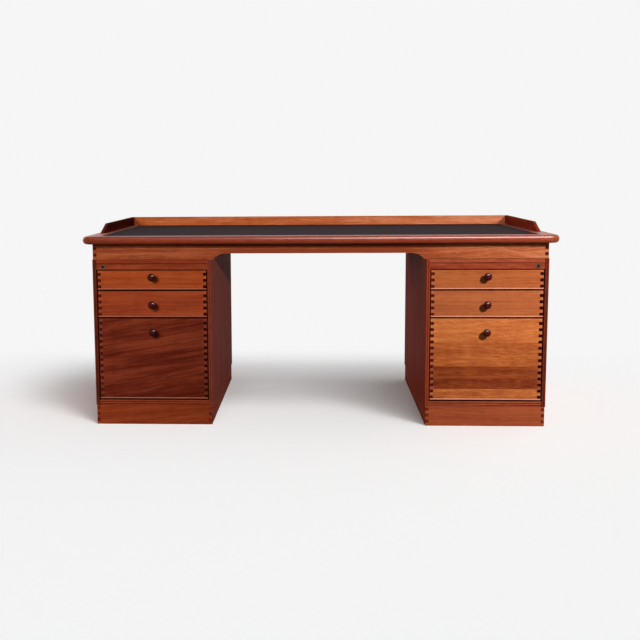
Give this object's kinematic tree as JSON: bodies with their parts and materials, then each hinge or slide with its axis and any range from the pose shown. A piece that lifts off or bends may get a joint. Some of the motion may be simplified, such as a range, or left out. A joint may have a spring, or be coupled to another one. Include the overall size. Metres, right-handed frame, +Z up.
{
  "type": "pedestal writing desk",
  "caption": "Mahogany kneehole writing desk: pedestals of drawers with turned knobs carry a leather-lined top with a low gallery round its back and sides.",
  "frame": {"origin": "on the floor under the middle of the desk top", "axes": "+X to the sitter's right along the desk's length, +Y from the drawers' side towards the gallery at the back, +Z up"},
  "size_m": [1.8, 0.94, 0.772],
  "materials": {
    "mahogany": "solid mahogany, waxed",
    "dark_mahogany": "turned, dark polished",
    "beech": "planed, unfinished",
    "blockboard": "sanded, unfinished",
    "plywood": "sanded, unfinished",
    "black_leather": "fine-grained, semi-matt",
    "nickel_brass": "polished, slightly worn",
    "steel": "cold-rolled"
  },
  "bodies": {
    "desk": {"top_core": "blockboard", "leather_inlay": "black_leather", "top_rail_front": "mahogany", "top_rail_right": "mahogany", "top_rail_back": "mahogany", "top_rail_left": "mahogany", "gallery_back": "mahogany", "gallery_right": "mahogany", "gallery_left": "mahogany", "apron_front": "mahogany", "apron_back": "mahogany", "apron_right": "mahogany", "apron_left": "mahogany", "top_bearers": "beech", "locating_dowels": "beech", "right_inner_side": "mahogany", "left_inner_side": "mahogany", "right_outer_side": "mahogany", "left_outer_side": "mahogany", "right_back_panel": "mahogany", "left_back_panel": "mahogany", "right_carcase_top": "mahogany", "left_carcase_top": "mahogany", "right_carcase_bottom": "mahogany", "left_carcase_bottom": "mahogany", "right_lock_rail": "mahogany", "left_lock_rail": "mahogany", "right_plinth_boards": "mahogany", "left_plinth_boards": "mahogany", "drawer_runners": "beech", "right_lock_barrel": "nickel_brass", "left_lock_barrel": "nickel_brass"},
    "left_top_drawer": {"left_top_drawer_front": "mahogany", "left_top_drawer_box": "mahogany", "left_top_drawer_bottom": "plywood", "left_top_drawer_knob": "dark_mahogany"},
    "left_middle_drawer": {"left_middle_drawer_front": "mahogany", "left_middle_drawer_box": "mahogany", "left_middle_drawer_bottom": "plywood", "left_middle_drawer_knob": "dark_mahogany"},
    "left_bottom_drawer": {"left_bottom_drawer_front": "mahogany", "left_bottom_drawer_box": "mahogany", "left_bottom_drawer_bottom": "plywood", "left_bottom_drawer_knob": "dark_mahogany"},
    "left_lock_plug": {"left_lock_plug": "nickel_brass"},
    "left_lock_bar": {"left_lock_bar": "steel"},
    "right_top_drawer": {"right_top_drawer_front": "mahogany", "right_top_drawer_box": "mahogany", "right_top_drawer_bottom": "plywood", "right_top_drawer_knob": "dark_mahogany"},
    "right_middle_drawer": {"right_middle_drawer_front": "mahogany", "right_middle_drawer_box": "mahogany", "right_middle_drawer_bottom": "plywood", "right_middle_drawer_knob": "dark_mahogany"},
    "right_bottom_drawer": {"right_bottom_drawer_front": "mahogany", "right_bottom_drawer_box": "mahogany", "right_bottom_drawer_bottom": "plywood", "right_bottom_drawer_knob": "dark_mahogany"},
    "right_lock_plug": {"right_lock_plug": "nickel_brass"},
    "right_lock_bar": {"right_lock_bar": "steel"}
  },
  "joints": [
    {"name": "left_top_drawer_slide", "type": "slide", "parent": "desk", "child": "left_top_drawer", "axis": [0, -1, 0], "range_m": [0, 0.45]},
    {"name": "left_middle_drawer_slide", "type": "slide", "parent": "desk", "child": "left_middle_drawer", "axis": [0, -1, 0], "range_m": [0, 0.45]},
    {"name": "left_bottom_drawer_slide", "type": "slide", "parent": "desk", "child": "left_bottom_drawer", "axis": [0, -1, 0], "range_m": [0, 0.45]},
    {"name": "left_lock_turn", "type": "hinge", "parent": "desk", "child": "left_lock_plug", "pos_m": [-0.825, -0.4225, 0.6155], "axis": [0, -1, 0], "range_deg": [0, 90]},
    {"name": "left_lock_bar_slide", "type": "slide", "parent": "desk", "child": "left_lock_bar", "axis": [0, 0, -1], "range_m": [0, 0.006]},
    {"name": "right_top_drawer_slide", "type": "slide", "parent": "desk", "child": "right_top_drawer", "axis": [0, -1, 0], "range_m": [0, 0.45]},
    {"name": "right_middle_drawer_slide", "type": "slide", "parent": "desk", "child": "right_middle_drawer", "axis": [0, -1, 0], "range_m": [0, 0.45]},
    {"name": "right_bottom_drawer_slide", "type": "slide", "parent": "desk", "child": "right_bottom_drawer", "axis": [0, -1, 0], "range_m": [0, 0.45]},
    {"name": "right_lock_turn", "type": "hinge", "parent": "desk", "child": "right_lock_plug", "pos_m": [0.825, -0.4225, 0.6155], "axis": [0, 1, 0], "range_deg": [0, 90]},
    {"name": "right_lock_bar_slide", "type": "slide", "parent": "desk", "child": "right_lock_bar", "axis": [0, 0, -1], "range_m": [0, 0.006]}
  ],
  "couplings": [
    {"joint": "left_lock_turn", "follows": "left_lock_bar_slide", "rad_per_m": 261.8},
    {"joint": "right_lock_turn", "follows": "right_lock_bar_slide", "rad_per_m": 261.8}
  ]
}
